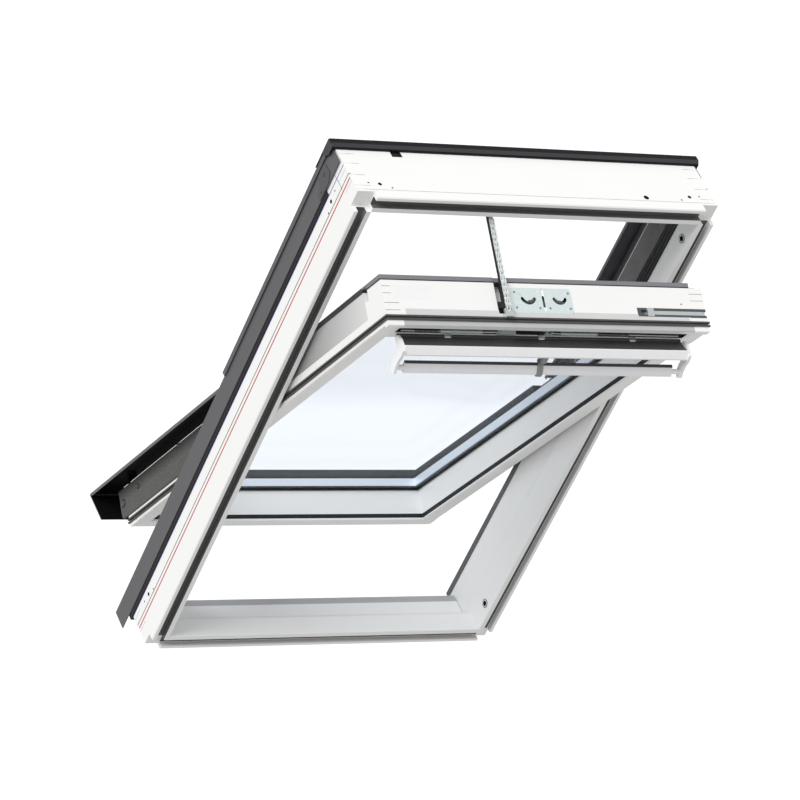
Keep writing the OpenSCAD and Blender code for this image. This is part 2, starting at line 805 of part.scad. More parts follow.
module rail_lower() {
  difference() {
    along_z(-sash_z - 22, -64) polygon([[sash_x, 66], [sash_x + 2.2, 67],
      [sash_x + 2.8, 69], [sash_x + 2.8, 90], [sash_x + 2.2, 108],
      [sash_x + 2.8, 122], [sash_x + 2.2, 125], [sash_x, 125]]);
    rod_x(sash_x - 1, sash_x + 4, 4.5, 96, -sash_z - 8);
    along_x(sash_x - 1, sash_x + 4) polygon([[60, -sash_z - 23], [60, -sash_z - 12],
      [74, -sash_z - 23]]);
    rod_x(sash_x + 1.6, sash_x + 4, 3.2, 107, -sash_z + 64);
    rod_x(sash_x + 1.6, sash_x + 4, 3.2, 122, -sash_z + 253);
  }
}

module rail_lower_right() {
  color([0.3, 0.3, 0.3]) on_sash() rail_lower();
}

module rail_lower_left() {
  color([0.3, 0.3, 0.3]) on_sash() flip(-1) rail_lower();
}

// ---- lock, bolt and label on the top end of the sash ----

plate_lo = lock_x - 78;
plate_hi = lock_x + 52;
bolt_lo = sash_x - 154;
label_lo = -sash_x + 18;
label_w = 84;
label_y = 93;
label_h = 25;

module lock_plate() {
  color([0.75, 0.8, 0.8]) on_sash() translate([0, 0, sash_z]) linear_extrude(1.2)
    difference() {
      translate([plate_lo + 5, 75]) offset(r = 5)
        square([plate_hi - plate_lo - 10, 39]);
      translate([lock_x - 11, 82]) square([3, 34]);
      translate([lock_x - 61, 84]) square([36, 13]);
      translate([lock_x + 8, 84]) square([32, 15]);
    }
}

module claw() {
  linear_extrude(3) difference() {
    union() {
      polygon([[-14, -2], [2, -5], [8, 0], [12, 8], [6, 10], [2, 4], [-4, 1], [-14, 3]]);
      circle(r = 4);
    }
    translate([8, 6]) circle(r = 1);
  }
}

module lock_claws() {
  color([0.35, 0.38, 0.38]) on_sash() translate([lock_x, 0, sash_z - 4]) {
    translate([-40, 91, 0]) claw();
    translate([22, 91, 0]) mirror([1, 0, 0]) claw();
    translate([-24, 86.2, -2]) linear_extrude(2.1) square([30, 7]);
    translate([-11, 83, 0]) cube([3, 12, 5.6]);
  }
}

module lock_screws() {
  color([0.7, 0.74, 0.74]) on_sash()
    for (p = [[-70, 110], [-70, 80], [46, 110], [46, 80], [-20, 80], [2, 80]])
      translate([lock_x + p[0], p[1], sash_z + 1.2]) cylinder(h = 0.7, r = 2.2);
}

module bolt_guide() {
  color([0.55, 0.57, 0.58]) on_sash() difference() {
    box([bolt_lo, 68, sash_z - 7], [sash_x, 86, sash_z]);
    box([bolt_lo + 8, 73, sash_z - 5.4], [sash_x + 1, 81.4, sash_z + 1]);
  }
}

module barrel_bolt() {
  color([0.78, 0.8, 0.8]) on_sash() {
    box([bolt_lo + 22, 73.2, sash_z - 5.3], [sash_x - 4, 81.2, sash_z - 1]);
    box([bolt_lo + 22, 69, sash_z + 0.2], [bolt_lo + 36, 85, sash_z + 1.6]);
    box([bolt_lo + 25, 73.2, sash_z - 1.1], [bolt_lo + 33, 81.2, sash_z + 0.3]);
  }
}

module label_plate() {
  color([0.95, 0.95, 0.95]) on_sash()
    box([label_lo, label_y, sash_z - 0.4], [label_lo + label_w, label_y + label_h, sash_z + 0.1]);
}

module vent_filter() {
  color([0.25, 0.25, 0.26]) on_sash() {
    box([-duct_x, 84, duct_lo], [duct_x, 96, duct_hi]);
    both() for (x = [50, duct_x - 171, duct_x - 81])
      box([x - 1.2, 66, duct_lo], [x + 1.2, 84, duct_hi]);
  }
}

// ---- flap and control bar, drawn round the flap's hinge line ----

flap_y = 39;
flap_z = in_hi + 20;

module on_flap() {
  on_sash() translate([0, flap_y, flap_z]) children();
}

module vent_flap() {
  f2 = flap_w / 2;
  color([0.9, 0.9, 0.89]) on_flap() difference() {
    rotate([-flap_tilt, 0, 0]) union() {
      along_x(-f2, f2) polygon([[2, -2.6], [2, 1], [-30, 1], [-33, 3], [-36, 3],
        [-43, -11], [-42, -14], [-39, -14], [-34, -3], [-30, -2.6]]);
      rod_x(-f2, f2, 3.6, 0, 0);
    }
    rod_x(-f2 - 1, f2 + 1, 1.56, 0, 0);
    for (x = [106 - f2, 0, f2 - 106]) box([x - 8, -4.2, -4.2], [x + 8, 4.4, 4.2]);
  }
}

module flap_rod() {
  f2 = flap_w / 2;
  color([0.6, 0.62, 0.63]) on_flap() {
    rod_x(-f2, f2, 1.5, 0, 0);
    for (x = [106 - f2, 0, f2 - 106])
      box([x - 7.6, -1.2, -2.4], [x + 7.6, sash_face - flap_y, 2.4]);
  }
}

module control_bar() {
  b2 = bar_w / 2;
  color([0.93, 0.93, 0.95]) on_flap() difference() {
    along_x(-b2, b2) polygon([[-43, -17.6], [-41, -16], [-46, -16.6], [-58, -24],
      [-61, -28], [-58, -31], [-53, -31], [-44, -23]]);
    along_x(-b2 - 1, b2 + 1) polygon([[-46, -19], [-56, -25], [-58, -27.6],
      [-54, -29], [-47, -23]]);
  }
}

module bar_end() {
  b2 = bar_w / 2;
  f2 = flap_w / 2;
  outline = [[-4, 10], [-14, 17], [-26, 20], [-38, 19.5], [-45, 10], [-49, -4], [-56, -16],
    [-64, -25], [-61, -33], [-50, -32], [-40, -20], [-33, -6], [-24, 1], [-6, 2]];
  along_x(f2, f2 + 6) polygon(outline);
  rod_x(b2, f2, 5, -52, -23.6);
}

module bar_ends() {
  color([0.94, 0.94, 0.94]) on_flap() both() bar_end();
}

module bar_bracket() {
  color([0.6, 0.6, 0.61]) on_flap() rotate([-flap_tilt, 0, 0])
    along_x(-8, 4) polygon([[-34, -3], [-39, -14], [-37, -30], [-33, -34], [-31, -30]]);
}

module latch_block() {
  color([0.6, 0.62, 0.62]) on_sash() {
    box([-chain_x - 4, 65, sash_z + 1.4], [-chain_x + 4, 67, sash_z + 4.6]);
    box([lock_x - 93, 49, duct_lo], [lock_x - 59, 66, duct_lo + 14]);
    box([lock_x - 96, 52, duct_lo + 3], [lock_x - 93, 62, duct_lo + 11]);
    box([lock_x + 4, 50, duct_lo], [lock_x + 8, 64, duct_lo + 20]);
    box([lock_x + 14, 50, duct_lo], [lock_x + 18, 64, duct_lo + 20]);
    box([lock_x + 4, 50, duct_lo], [lock_x + 18, 64, duct_lo + 4]);
    rod_x(26 - flap_w / 2, lock_x - 96, 1.6, 60, duct_lo + 7);
    rod_x(lock_x + 18, flap_w / 2 - 26, 1.6, 60, duct_lo + 2.5);
  }
}

frame_top();
frame_bottom();
frame_left();
frame_right();
room_edge_top();
room_edge_bottom();
room_edge_left();
room_edge_right();
bushes();
level_line_red();
level_line_blue();
membrane_seals();
flank_strips();
frame_gaskets();
rail_upper_left();
rail_upper_right();
frame_top_cover();
cladding_left();
cladding_right();
side_cover_left();
side_cover_right();
frame_bottom_cover();
cover_clips();
hinge_frame_left();
hinge_frame_right();
operator_housing();
operator_cover();
operator_motor();
chain_sprocket();
chain();
chain_hook();
sash_top();
sash_bottom();
sash_left();
sash_right();
sash_gasket();
inner_gasket();
pane_outer();
pane_inner();
glass_spacer();
glazing_gasket();
sash_top_cover();
sash_side_strips();
sash_bottom_cover();
sash_cover_left();
sash_cover_right();
rail_lower_left();
rail_lower_right();
hinge_sash_left();
hinge_sash_right();
lock_plate();
lock_claws();
lock_screws();
bolt_guide();
barrel_bolt();
label_plate();
vent_filter();
vent_flap();
flap_rod();
control_bar();
bar_ends();
bar_bracket();
latch_block();
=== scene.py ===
import math

import bpy
import numpy as np
from mathutils import Matrix


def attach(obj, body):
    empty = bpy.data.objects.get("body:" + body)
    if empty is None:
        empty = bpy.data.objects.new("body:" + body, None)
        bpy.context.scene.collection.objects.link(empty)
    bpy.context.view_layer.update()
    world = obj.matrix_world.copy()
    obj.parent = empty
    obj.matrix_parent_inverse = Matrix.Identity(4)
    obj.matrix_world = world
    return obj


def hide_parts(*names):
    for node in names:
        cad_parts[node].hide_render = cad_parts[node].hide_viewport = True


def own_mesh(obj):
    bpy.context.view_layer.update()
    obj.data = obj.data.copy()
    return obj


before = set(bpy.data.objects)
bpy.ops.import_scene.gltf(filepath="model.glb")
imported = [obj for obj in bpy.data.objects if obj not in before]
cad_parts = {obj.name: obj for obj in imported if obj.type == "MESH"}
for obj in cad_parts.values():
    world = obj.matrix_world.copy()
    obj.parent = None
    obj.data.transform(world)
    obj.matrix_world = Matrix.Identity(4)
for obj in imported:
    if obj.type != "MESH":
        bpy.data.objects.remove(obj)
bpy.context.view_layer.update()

# ---- Camera, floor and light ----
# A long lens looks down at the window from the room side, left of the middle and
# above the head. The pale floor lies far below, so no shadow of the window reaches
# it in this view, and the light is a wide soft source over the left shoulder.
EYE = (-3.9228, -4.7534, 5.1705)
RIGHT = (0.86174205, -0.35887182, 0.35862468)
UP = (-0.0093479, 0.69551211, 0.71845357)
AHEAD = (0.50726055, 0.62247403, -0.59599733)
LENS_MM = 179.68
FLOOR_MIDDLE = (7.3, 9.0, -8.0)
FLOOR_HALF = 7.0
SUN_FROM = (-0.66, 0.06, 0.75)
SUN_STRENGTH = 2.45
SUN_SPREAD = math.radians(38)
SKY_LIGHT = 0.62

lens = bpy.data.cameras.new("view_camera")
lens.lens = LENS_MM
lens.sensor_width = 36.0
lens.clip_end = 200.0
camera = bpy.data.objects.new("view_camera", lens)
bpy.context.scene.collection.objects.link(camera)
turn = np.eye(4)
turn[:3, 0], turn[:3, 1], turn[:3, 2], turn[:3, 3] = RIGHT, UP, -np.array(AHEAD), EYE
camera.matrix_world = Matrix(turn.tolist())
bpy.context.scene.camera = camera
bpy.context.scene.view_settings.view_transform = "Standard"

lamp = bpy.data.lights.new("soft_sun", "SUN")
lamp.energy = SUN_STRENGTH
lamp.angle = SUN_SPREAD
sun = bpy.data.objects.new("soft_sun", lamp)
bpy.context.scene.collection.objects.link(sun)
back = np.array(SUN_FROM) / np.linalg.norm(SUN_FROM)
side = np.cross((0.0, 1.0, 0.0), back)
side /= np.linalg.norm(side)
turn = np.eye(4)
turn[:3, 0], turn[:3, 1], turn[:3, 2] = side, np.cross(back, side), back
sun.matrix_world = Matrix(turn.tolist())

sky = bpy.data.worlds.new("soft_sky")
sky.use_nodes = True
bpy.context.scene.world = sky
glow = sky.node_tree.nodes["Background"]
glow.inputs["Color"].default_value = (1.0, 1.0, 1.0, 1.0)
seen = sky.node_tree.nodes.new("ShaderNodeLightPath")
level = sky.node_tree.nodes.new("ShaderNodeMapRange")
level.inputs["To Min"].default_value = SKY_LIGHT
level.inputs["To Max"].default_value = 1.0
sky.node_tree.links.new(seen.outputs["Is Camera Ray"], level.inputs["Value"])
sky.node_tree.links.new(level.outputs["Result"], glow.inputs["Strength"])


def put_mesh(name, points, faces):
    """A new mesh object at the origin from an array of points and rows of corner numbers."""
    mesh = bpy.data.meshes.new(name)
    mesh.from_pydata([tuple(p) for p in np.asarray(points, float)], [], [tuple(f) for f in faces])
    mesh.update()
    piece = bpy.data.objects.new(name, mesh)
    bpy.context.scene.collection.objects.link(piece)
    return piece


fx, fy, fz = FLOOR_MIDDLE
corners = [(fx + a * FLOOR_HALF, fy + b * FLOOR_HALF, fz) for a, b in ((-1, -1), (1, -1), (1, 1), (-1, 1))]
floor = put_mesh("floor", corners, [(0, 1, 2, 3)])


class Value:
    """One output of a shader node. Sums, products and the like on it are Math nodes."""

    def __init__(self, socket):
        self.socket = socket

    def make(self, kind, settings, inputs, output=0):
        """Any node: its settings first, then the values or links of its sockets."""
        tree = self.socket.id_data
        node = tree.nodes.new(kind)
        for key, setting in settings.items():
            if key == "stops":
                ramp = node.color_ramp
                while len(ramp.elements) < len(setting):
                    ramp.elements.new(0.5)
                for element, (place, tone) in zip(ramp.elements, setting):
                    element.position, element.color = place, tone
            else:
                setattr(node, key, setting)
        for key, given in inputs.items():
            if isinstance(given, Value):
                tree.links.new(given.socket, node.inputs[key])
            else:
                node.inputs[key].default_value = given
        return Value(node.outputs[output])

    def maths(self, operation, a, b):
        return self.make("ShaderNodeMath", {"operation": operation}, {0: a, 1: b})

    def __add__(self, other):
        return self.maths("ADD", self, other)

    __radd__ = __add__

    def __sub__(self, other):
        return self.maths("SUBTRACT", self, other)

    def __rsub__(self, other):
        return self.maths("SUBTRACT", other, self)

    def __mul__(self, other):
        return self.maths("MULTIPLY", self, other)

    __rmul__ = __mul__

    def __gt__(self, other):
        return self.maths("GREATER_THAN", self, other)

    def __lt__(self, other):
        return self.maths("LESS_THAN", self, other)


def new_finish(name, settings):
    """A new material with its shader's constants set, and the Object coordinates it reads."""
    material = bpy.data.materials.new(name)
    material.use_nodes = True
    shader = material.node_tree.nodes["Principled BSDF"]
    for key, setting in settings.items():
        shader.inputs[key].default_value = setting
    place = Value(material.node_tree.nodes.new("ShaderNodeTexCoord").outputs["Object"])
    return material, shader, place


def lead(value, shader, socket):
    """Joins a value to one socket of a shader."""
    value.socket.id_data.links.new(value.socket, shader.inputs[socket])


def speckle(place, scale, detail=2.0):
    """Cloudy noise from 0 to 1 with about `scale` blotches in a metre."""
    return place.make("ShaderNodeTexNoise", {}, {"Vector": place, "Scale": scale, "Detail": detail})


def tones(mask, dark, light):
    """The colour between dark and light that the mask picks."""
    return mask.make(
        "ShaderNodeMix", {"data_type": "RGBA"}, {0: mask, 6: (*dark, 1.0), 7: (*light, 1.0)}, 2)


def dent(height, strength, depth):
    """A surface normal from a height pattern."""
    return height.make("ShaderNodeBump", {}, {"Height": height, "Strength": strength, "Distance": depth})


floor_paint, shader, place = new_finish("pale_floor", {"Roughness": 0.9})
lead(tones(speckle(place, 0.6), (0.93, 0.93, 0.93), (0.96, 0.96, 0.96)), shader, "Base Color")
floor.data.materials.append(floor_paint)


# ---- Frame timber ----
# Four laminated pine members, finger-jointed at the corners and dipped in white
# polyurethane. The groove for the room lining is milled along the room edge and
# carries painted shade inside, and fine joint lines show at the corners.
def wear(material, *nodes):
    """Gives a material to CAD nodes."""
    for node in nodes:
        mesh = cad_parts[node].data
        mesh.materials.clear()
        mesh.materials.append(material)


def coated_timber(name):
    """White coating: base colour drifts slightly in broad clouds, roughness in small ones,
    and the bump is a fine stipple with long faint grain under it."""
    material, shader, place = new_finish(name, {"Coat Roughness": 0.25, "Specular IOR Level": 0.4})
    clouds = speckle(place, 6.0, 3.0)
    grain = place.make("ShaderNodeTexNoise", {}, {
        "Vector": place.make("ShaderNodeMapping", {}, {"Vector": place, "Scale": (260.0, 260.0, 5.0)}),
        "Scale": 1.0, "Detail": 2.0})
    stipple = speckle(place, 1500.0)
    lead(stipple * 0.06 + speckle(place, 40.0) * 0.08 + 0.3, shader, "Roughness")
    lead(clouds * 0.1 + 0.08, shader, "Coat Weight")
    lead(dent(stipple * 0.5 + grain, 0.12, 0.0003), shader, "Normal")
    return shader, place, tones(clouds, (0.83, 0.83, 0.815), (0.865, 0.865, 0.855)), material


def axes(place):
    """Object coordinates as three values in metres, x without its sign."""
    x, y, z = (place.make("ShaderNodeSeparateXYZ", {}, {0: place}, i) for i in range(3))
    return x.maths("ABSOLUTE", x, 0.0), y, z


def over(mask, below, above):
    """The colour `above` where the mask is 1 and `below` where it is 0."""
    if not isinstance(above, Value):
        above = (*above, 1.0)
    return mask.make("ShaderNodeMix", {"data_type": "RGBA"}, {0: mask, 6: below, 7: above}, 2)


def between(value, low, high):
    return (value > low) * (value < high)


# Holes, seats and joint lines lie just under the outer faces; their insides are painted nearly black as
# painted shade.
shader, place, white, timber_frame = coated_timber("frame_timber_white")
x, y, z = axes(place)
inside_flank = between(x, 0.3742, 0.3896) * between(y, -0.0455, 0.0625) * between(z, 0.003, 1.1770)
inside_head = between(z, 1.1462, 1.1796) * between(y, -0.0480, 0.0645) * (x < 0.3740)
lead(over(inside_flank.maths("MAXIMUM", inside_flank, inside_head), white, (0.03, 0.03, 0.032)),
     shader, "Base Color")
wear(timber_frame, "frame_top", "frame_bottom", "frame_left", "frame_right")

# The lining groove lies between 8 and 25.5 mm from the outside, 12 mm deep. Its outer wall is
# left white, and the rest carries painted shade, darkest at the outside and fading toward the inner wall.
shader, place, white, timber_edge = coated_timber("room_edge_white")
x, y, z = axes(place)
from_end = 0.590 - z.maths("ABSOLUTE", z - 0.59, 0.0)
from_edge = x.maths("MINIMUM", 0.390 - x, from_end)
in_groove = between(from_edge, 0.0092, 0.0257) * between(y, -0.0648, -0.0522)
fade = from_edge.make("ShaderNodeMapRange", {}, {"Value": from_edge, "From Min": 0.008, "From Max": 0.026})
groove_shade = tones(fade + speckle(place, 90.0) * 0.2, (0.035, 0.035, 0.035), (0.13, 0.13, 0.128))
lead(over(in_groove, white, groove_shade), shader, "Base Color")
wear(timber_edge, "room_edge_top", "room_edge_bottom", "room_edge_left", "room_edge_right")


# ---- Bushes and operator outlet ----
# Moulded white plastic: the four sockets that take the barrel bolt when the sash is
# turned for cleaning, and the long plate that closes the operator's pocket.
white_plastic, shader, place = new_finish("white_plastic", {"Specular IOR Level": 0.45})
lead(tones(speckle(place, 60.0), (0.80, 0.80, 0.79), (0.85, 0.85, 0.84)), shader, "Base Color")
lead(speckle(place, 300.0) * 0.12 + 0.36, shader, "Roughness")
lead(dent(speckle(place, 1800.0), 0.1, 0.0002), shader, "Normal")
wear(white_plastic, "operator_cover")

# A bush's hole and the joint round its rim are painted dark: painted shade in the bore and the gap.
bush_white, shader, place = new_finish("bush_white", {"Specular IOR Level": 0.45})
x, y, z = axes(place)
off_y, off_z = y + 0.043, 0.500 - z.maths("ABSOLUTE", z - 0.59, 0.0)
off_axis = x.maths("SQRT", off_y * off_y + off_z * off_z, 0.0)
hole_and_rim_shade = (off_axis < 0.0059).maths("MAXIMUM", off_axis < 0.0059, off_axis > 0.0076)
moulded = tones(speckle(place, 60.0), (0.82, 0.82, 0.81), (0.88, 0.88, 0.87))
lead(over(hole_and_rim_shade, moulded, (0.01, 0.01, 0.01)), shader, "Base Color")
lead(speckle(place, 300.0) * 0.12 + 0.36, shader, "Roughness")
wear(bush_white, "bushes")


# ---- Level lines ----
# Two thin coloured strips let into each flank; the fitter lines them up with the
# brackets to set the window high or low in the roof.
def line_paint(name, dark, light):
    material, shader, place = new_finish(name, {})
    lead(tones(speckle(place, 200.0), dark, light), shader, "Base Color")
    lead(speckle(place, 500.0) * 0.2 + 0.4, shader, "Roughness")
    return material


wear(line_paint("line_red", (0.46, 0.04, 0.04), (0.56, 0.08, 0.08)), "level_line_red")
wear(line_paint("line_blue", (0.12, 0.12, 0.50), (0.18, 0.18, 0.62)), "level_line_blue")


# ---- Seals and gaskets ----
# Extruded black rubber: the membrane seals and edge strips on the flanks, the double
# gaskets in the frame, the sash gasket and the glazing gaskets.
rubber, shader, place = new_finish("black_rubber", {"Specular IOR Level": 0.35})
lead(tones(speckle(place, 120.0), (0.008, 0.008, 0.010), (0.020, 0.020, 0.022)), shader, "Base Color")
lead(speckle(place, 400.0) * 0.2 + 0.45, shader, "Roughness")
lead(dent(speckle(place, 1400.0), 0.2, 0.0002), shader, "Normal")
wear(rubber, "membrane_seals", "flank_strips", "frame_gaskets", "glazing_gasket", "inner_gasket")

grey_rubber, shader, place = new_finish("grey_rubber", {"Specular IOR Level": 0.3})
lead(tones(speckle(place, 90.0), (0.055, 0.054, 0.053), (0.085, 0.084, 0.082)), shader, "Base Color")
lead(speckle(place, 400.0) * 0.15 + 0.5, shader, "Roughness")
lead(dent(speckle(place, 1400.0), 0.2, 0.0002), shader, "Normal")
wear(grey_rubber, "sash_gasket")


# ---- Side rails ----
# Coarse-grained dark plastic rails that carry the seals past the pivot: on the frame
# above it and on the sash below it, each held by recessed screws.
grained, shader, place = new_finish("grained_plastic", {"Specular IOR Level": 0.3})
coarse = speckle(place, 420.0, 6.0)
lead(tones(coarse * 0.7 + speckle(place, 25.0) * 0.3, (0.07, 0.07, 0.07), (0.24, 0.237, 0.233)),
     shader, "Base Color")
lead(coarse * 0.2 + 0.6, shader, "Roughness")
lead(dent(coarse, 0.9, 0.0007), shader, "Normal")
wear(grained, "rail_upper_left", "rail_upper_right")
TILT = math.radians(24.9)


def sash_axes(place):
    """Depth from the room face and height above the pivot line, measured on the tilted sash:
    the Object coordinates turned back by the opening angle, in metres. x loses its sign."""
    x, y, z = axes(place)
    c, s = math.cos(TILT), math.sin(TILT)
    return x, (y - 0.085) * c + (z - 0.590) * s + 0.150, (z - 0.590) * c - (y - 0.085) * s


grained_low, shader, place = new_finish("grained_plastic_low", {"Specular IOR Level": 0.3})
x, depth, height = sash_axes(place)
coarse = speckle(place, 300.0, 4.0)
# Toward the outer side the lower rails are painted near black: painted shade.
shade = depth.make("ShaderNodeMapRange", {}, {"Value": depth, "From Min": 0.098, "From Max": 0.124})
tone = tones(coarse * 0.9 + speckle(place, 25.0) * 0.1, (0.0, 0.0, 0.0), (0.20, 0.198, 0.19))
lead(over(shade, tone, (0.02, 0.02, 0.02)), shader, "Base Color")
lead(coarse * 0.2 + 0.6, shader, "Roughness")
lead(dent(coarse, 0.9, 0.0007), shader, "Normal")
wear(grained_low, "rail_lower_left", "rail_lower_right")


# ---- Frame covers ----
# Folded aluminium sheet, lacquered dark grey: cladding along the flanks, the hood over
# the head, the fixed outer covers beside the upper half and the pan over the sill.
def lacquer(name, dark, light, settings):
    """Satin lacquer on sheet: fine speckle in the colour, faint waves of the rolled sheet in
    the normal, and a roughness that drifts."""
    material, shader, place = new_finish(name, settings)
    lead(speckle(place, 30.0) * 0.1 + 0.33, shader, "Roughness")
    lead(dent(speckle(place, 1100.0) * 0.4 + speckle(place, 14.0) * 2.0, 0.12, 0.0005), shader, "Normal")
    return material, shader, place, tones(speckle(place, 700.0, 3.0), dark, light)


sheet_dark, shader, place, grey = lacquer(
    "lacquer_dark", (0.10, 0.10, 0.105), (0.13, 0.13, 0.137), {"Metallic": 0.25, "Specular IOR Level": 0.4})
lead(grey, shader, "Base Color")
wear(sheet_dark, "cladding_left", "cladding_right", "side_cover_left", "side_cover_right")

# The sash's covers are painted black on every face below the outer skin: painted shade on the inner faces.
sheet_sash, shader, place, grey = lacquer(
    "lacquer_sash", (0.13, 0.13, 0.135), (0.16, 0.16, 0.168), {"Metallic": 0.25, "Specular IOR Level": 0.4})
x, depth, height = sash_axes(place)
lead(over((depth < 0.1486) * (x < 0.3719), grey, (0.005, 0.005, 0.006)), shader, "Base Color")
wear(sheet_sash, "sash_bottom_cover", "sash_cover_left", "sash_cover_right")

sill_paint, shader, place, grey = lacquer(
    "lacquer_sill", (0.42, 0.42, 0.43), (0.48, 0.48, 0.49), {"Metallic": 0.2})
lead(grey, shader, "Base Color")
wear(sill_paint, "frame_bottom_cover")

hood, shader, place, grey = lacquer(
    "lacquer_hood", (0.045, 0.045, 0.049), (0.062, 0.062, 0.067), {"Specular IOR Level": 0.15})
x, y, z = axes(place)
# The top face behind the ridge is painted near black as a painted dark reflection, and a thin band along the
# lower edge as painted shadow in the gap above the timber.
dark = ((y > 0.0700) * (z > 1.1860)).maths("MAXIMUM", (y > 0.0700) * (z > 1.1860), y < 0.0648)
lead(over(dark, grey, (0.006, 0.006, 0.009)), shader, "Base Color")
wear(hood, "frame_top_cover")

clip_paint, shader, place, grey = lacquer(
    "lacquer_clip", (0.07, 0.07, 0.075), (0.11, 0.11, 0.118), {"Metallic": 0.3})
lead(grey, shader, "Base Color")
wear(clip_paint, "cover_clips")


# ---- Pivots, lock and bolt metal ----
# Pressed steel, zinc plated with a pale blue-green tint: pivot plates, the lock plate,
# the bolt and the small fittings. Hidden drive parts are duller.
def plated(name, dark, light, rough, metal=0.75):
    """Zinc plate: spangle-like patches in the colour and short brushing in the normal."""
    material, shader, place = new_finish(name, {"Specular IOR Level": 0.5})
    patches = place.make("ShaderNodeTexVoronoi", {}, {"Vector": place, "Scale": 350.0}, 0)
    lead(tones(patches, dark, light), shader, "Base Color")
    lead(speckle(place, 250.0) * 0.15 + rough, shader, "Roughness")
    lead(patches * 0.1 + metal, shader, "Metallic")
    lead(dent(speckle(place, 1600.0), 0.15, 0.0002), shader, "Normal")
    return material


zinc = plated("zinc_plated", (0.62, 0.68, 0.69), (0.76, 0.81, 0.81), 0.28)
wear(zinc, "hinge_frame_left", "hinge_frame_right", "hinge_sash_left", "hinge_sash_right",
     "barrel_bolt", "flap_rod", "chain_hook", "chain_sprocket")
chain_steel = plated("chain_steel", (0.66, 0.70, 0.70), (0.84, 0.87, 0.87), 0.32, 0.35)
dull_steel = plated("dull_steel", (0.10, 0.11, 0.115), (0.18, 0.19, 0.19), 0.4)
bright_plate = plated("bright_plate", (0.60, 0.68, 0.68), (0.74, 0.82, 0.82), 0.3, 0.12)
wear(bright_plate, "lock_plate", "latch_block")
screw_grey = plated("screw_grey", (0.20, 0.22, 0.22), (0.34, 0.37, 0.37), 0.35, 0.3)
wear(screw_grey, "lock_screws")
wear(dull_steel, "lock_claws", "bolt_guide", "operator_motor")


# ---- Operator housing ----
# Moulded black plastic body let into the head; only its underside edge is seen.
black_plastic, shader, place = new_finish("black_plastic", {})
lead(tones(speckle(place, 80.0), (0.02, 0.02, 0.022), (0.035, 0.035, 0.037)), shader, "Base Color")
lead(speckle(place, 400.0) * 0.15 + 0.45, shader, "Roughness")
wear(black_plastic, "operator_housing")


# ---- Push chain ----
# Twenty stamped steel links, rounded plates in alternating pairs on riveted pins, that
# push the sash open. It runs square to the opened sash, down from the head.
def on_sash(points):
    """Points given on the closed sash (x, depth from the room face, height from the pivot,
    in mm) turned by the opening angle about the pivot line and put in the row frame, in metres."""
    p = np.asarray(points, float)
    out = np.empty_like(p)
    c, s = math.cos(TILT), math.sin(TILT)
    out[..., 0] = p[..., 0]
    out[..., 1] = 85.0 + (p[..., 1] - 150.0) * c - p[..., 2] * s
    out[..., 2] = 590.0 + (p[..., 1] - 150.0) * s + p[..., 2] * c
    return out / 1000.0


def slab(outline, low, high):
    """A flat plate: a closed outline (n by 2) repeated at four levels, drawn in by a small
    margin at the first and last, so its edges are eased. Gives points (u, v, w) and faces."""
    o = np.asarray(outline, float)
    n = len(o)
    middle = o.mean(0)
    ease = min(0.25, (high - low) * 0.3)
    reach = np.linalg.norm(o - middle, axis=1, keepdims=True)
    drawn = middle + (o - middle) * (1 - ease / np.maximum(reach, 1e-6))
    rings = [(drawn, low), (o, low + ease), (o, high - ease), (drawn, high)]
    points = np.vstack([np.column_stack([ring, np.full(n, level)]) for ring, level in rings])
    k = np.arange(n)
    sides = [np.column_stack([r * n + k, r * n + (k + 1) % n, (r + 1) * n + (k + 1) % n, (r + 1) * n + k])
             for r in range(3)]
    faces = [tuple(f) for f in np.vstack(sides)]
    faces += [tuple(k[::-1]), tuple(3 * n + k)]
    return points, faces


def gather(parts):
    """Joins (points, faces) pairs into one pair."""
    points, faces, start = [], [], 0
    for p, f in parts:
        points.append(p)
        faces += [tuple(i + start for i in face) for face in f]
        start += len(p)
    return np.vstack(points), faces


CHAIN_X, CHAIN_Z, CHAIN_START, CHAIN_LENGTH, LINKS = -95.0, 550.5, 70.0, 221.0, 20
pitch = CHAIN_LENGTH / LINKS
turns = np.linspace(-math.pi / 2, math.pi / 2, 8)
end_arc = np.column_stack([np.cos(turns), np.sin(turns)]) * 5.0
link_outline = np.vstack([end_arc + (pitch / 2, 0), [(0, 3.8)], -end_arc + (-pitch / 2, 0), [(0, -3.8)]])
circle = np.linspace(0, 2 * math.pi, 14, endpoint=False)
pin_outline = np.column_stack([np.cos(circle), np.sin(circle)]) * 1.7
parts = []
for i in range(LINKS):
    middle = CHAIN_START + (i + 0.5) * pitch
    for x0, half in ((-4.8, 0.8), (4.8, 0.8), (0.0, 1.6)) if i % 2 else ((-3.0, 0.8), (3.0, 0.8)):
        p, f = slab(link_outline, x0 - half, x0 + half)
        parts.append((np.column_stack([CHAIN_X + p[:, 2], middle + p[:, 0], CHAIN_Z + p[:, 1]]), f))
for i in range(LINKS + 1):
    p, f = slab(pin_outline, -6.2, 6.2)
    pin_middle = CHAIN_START + i * pitch
    parts.append((np.column_stack([CHAIN_X + p[:, 2], pin_middle + p[:, 0], CHAIN_Z + p[:, 1]]), f))
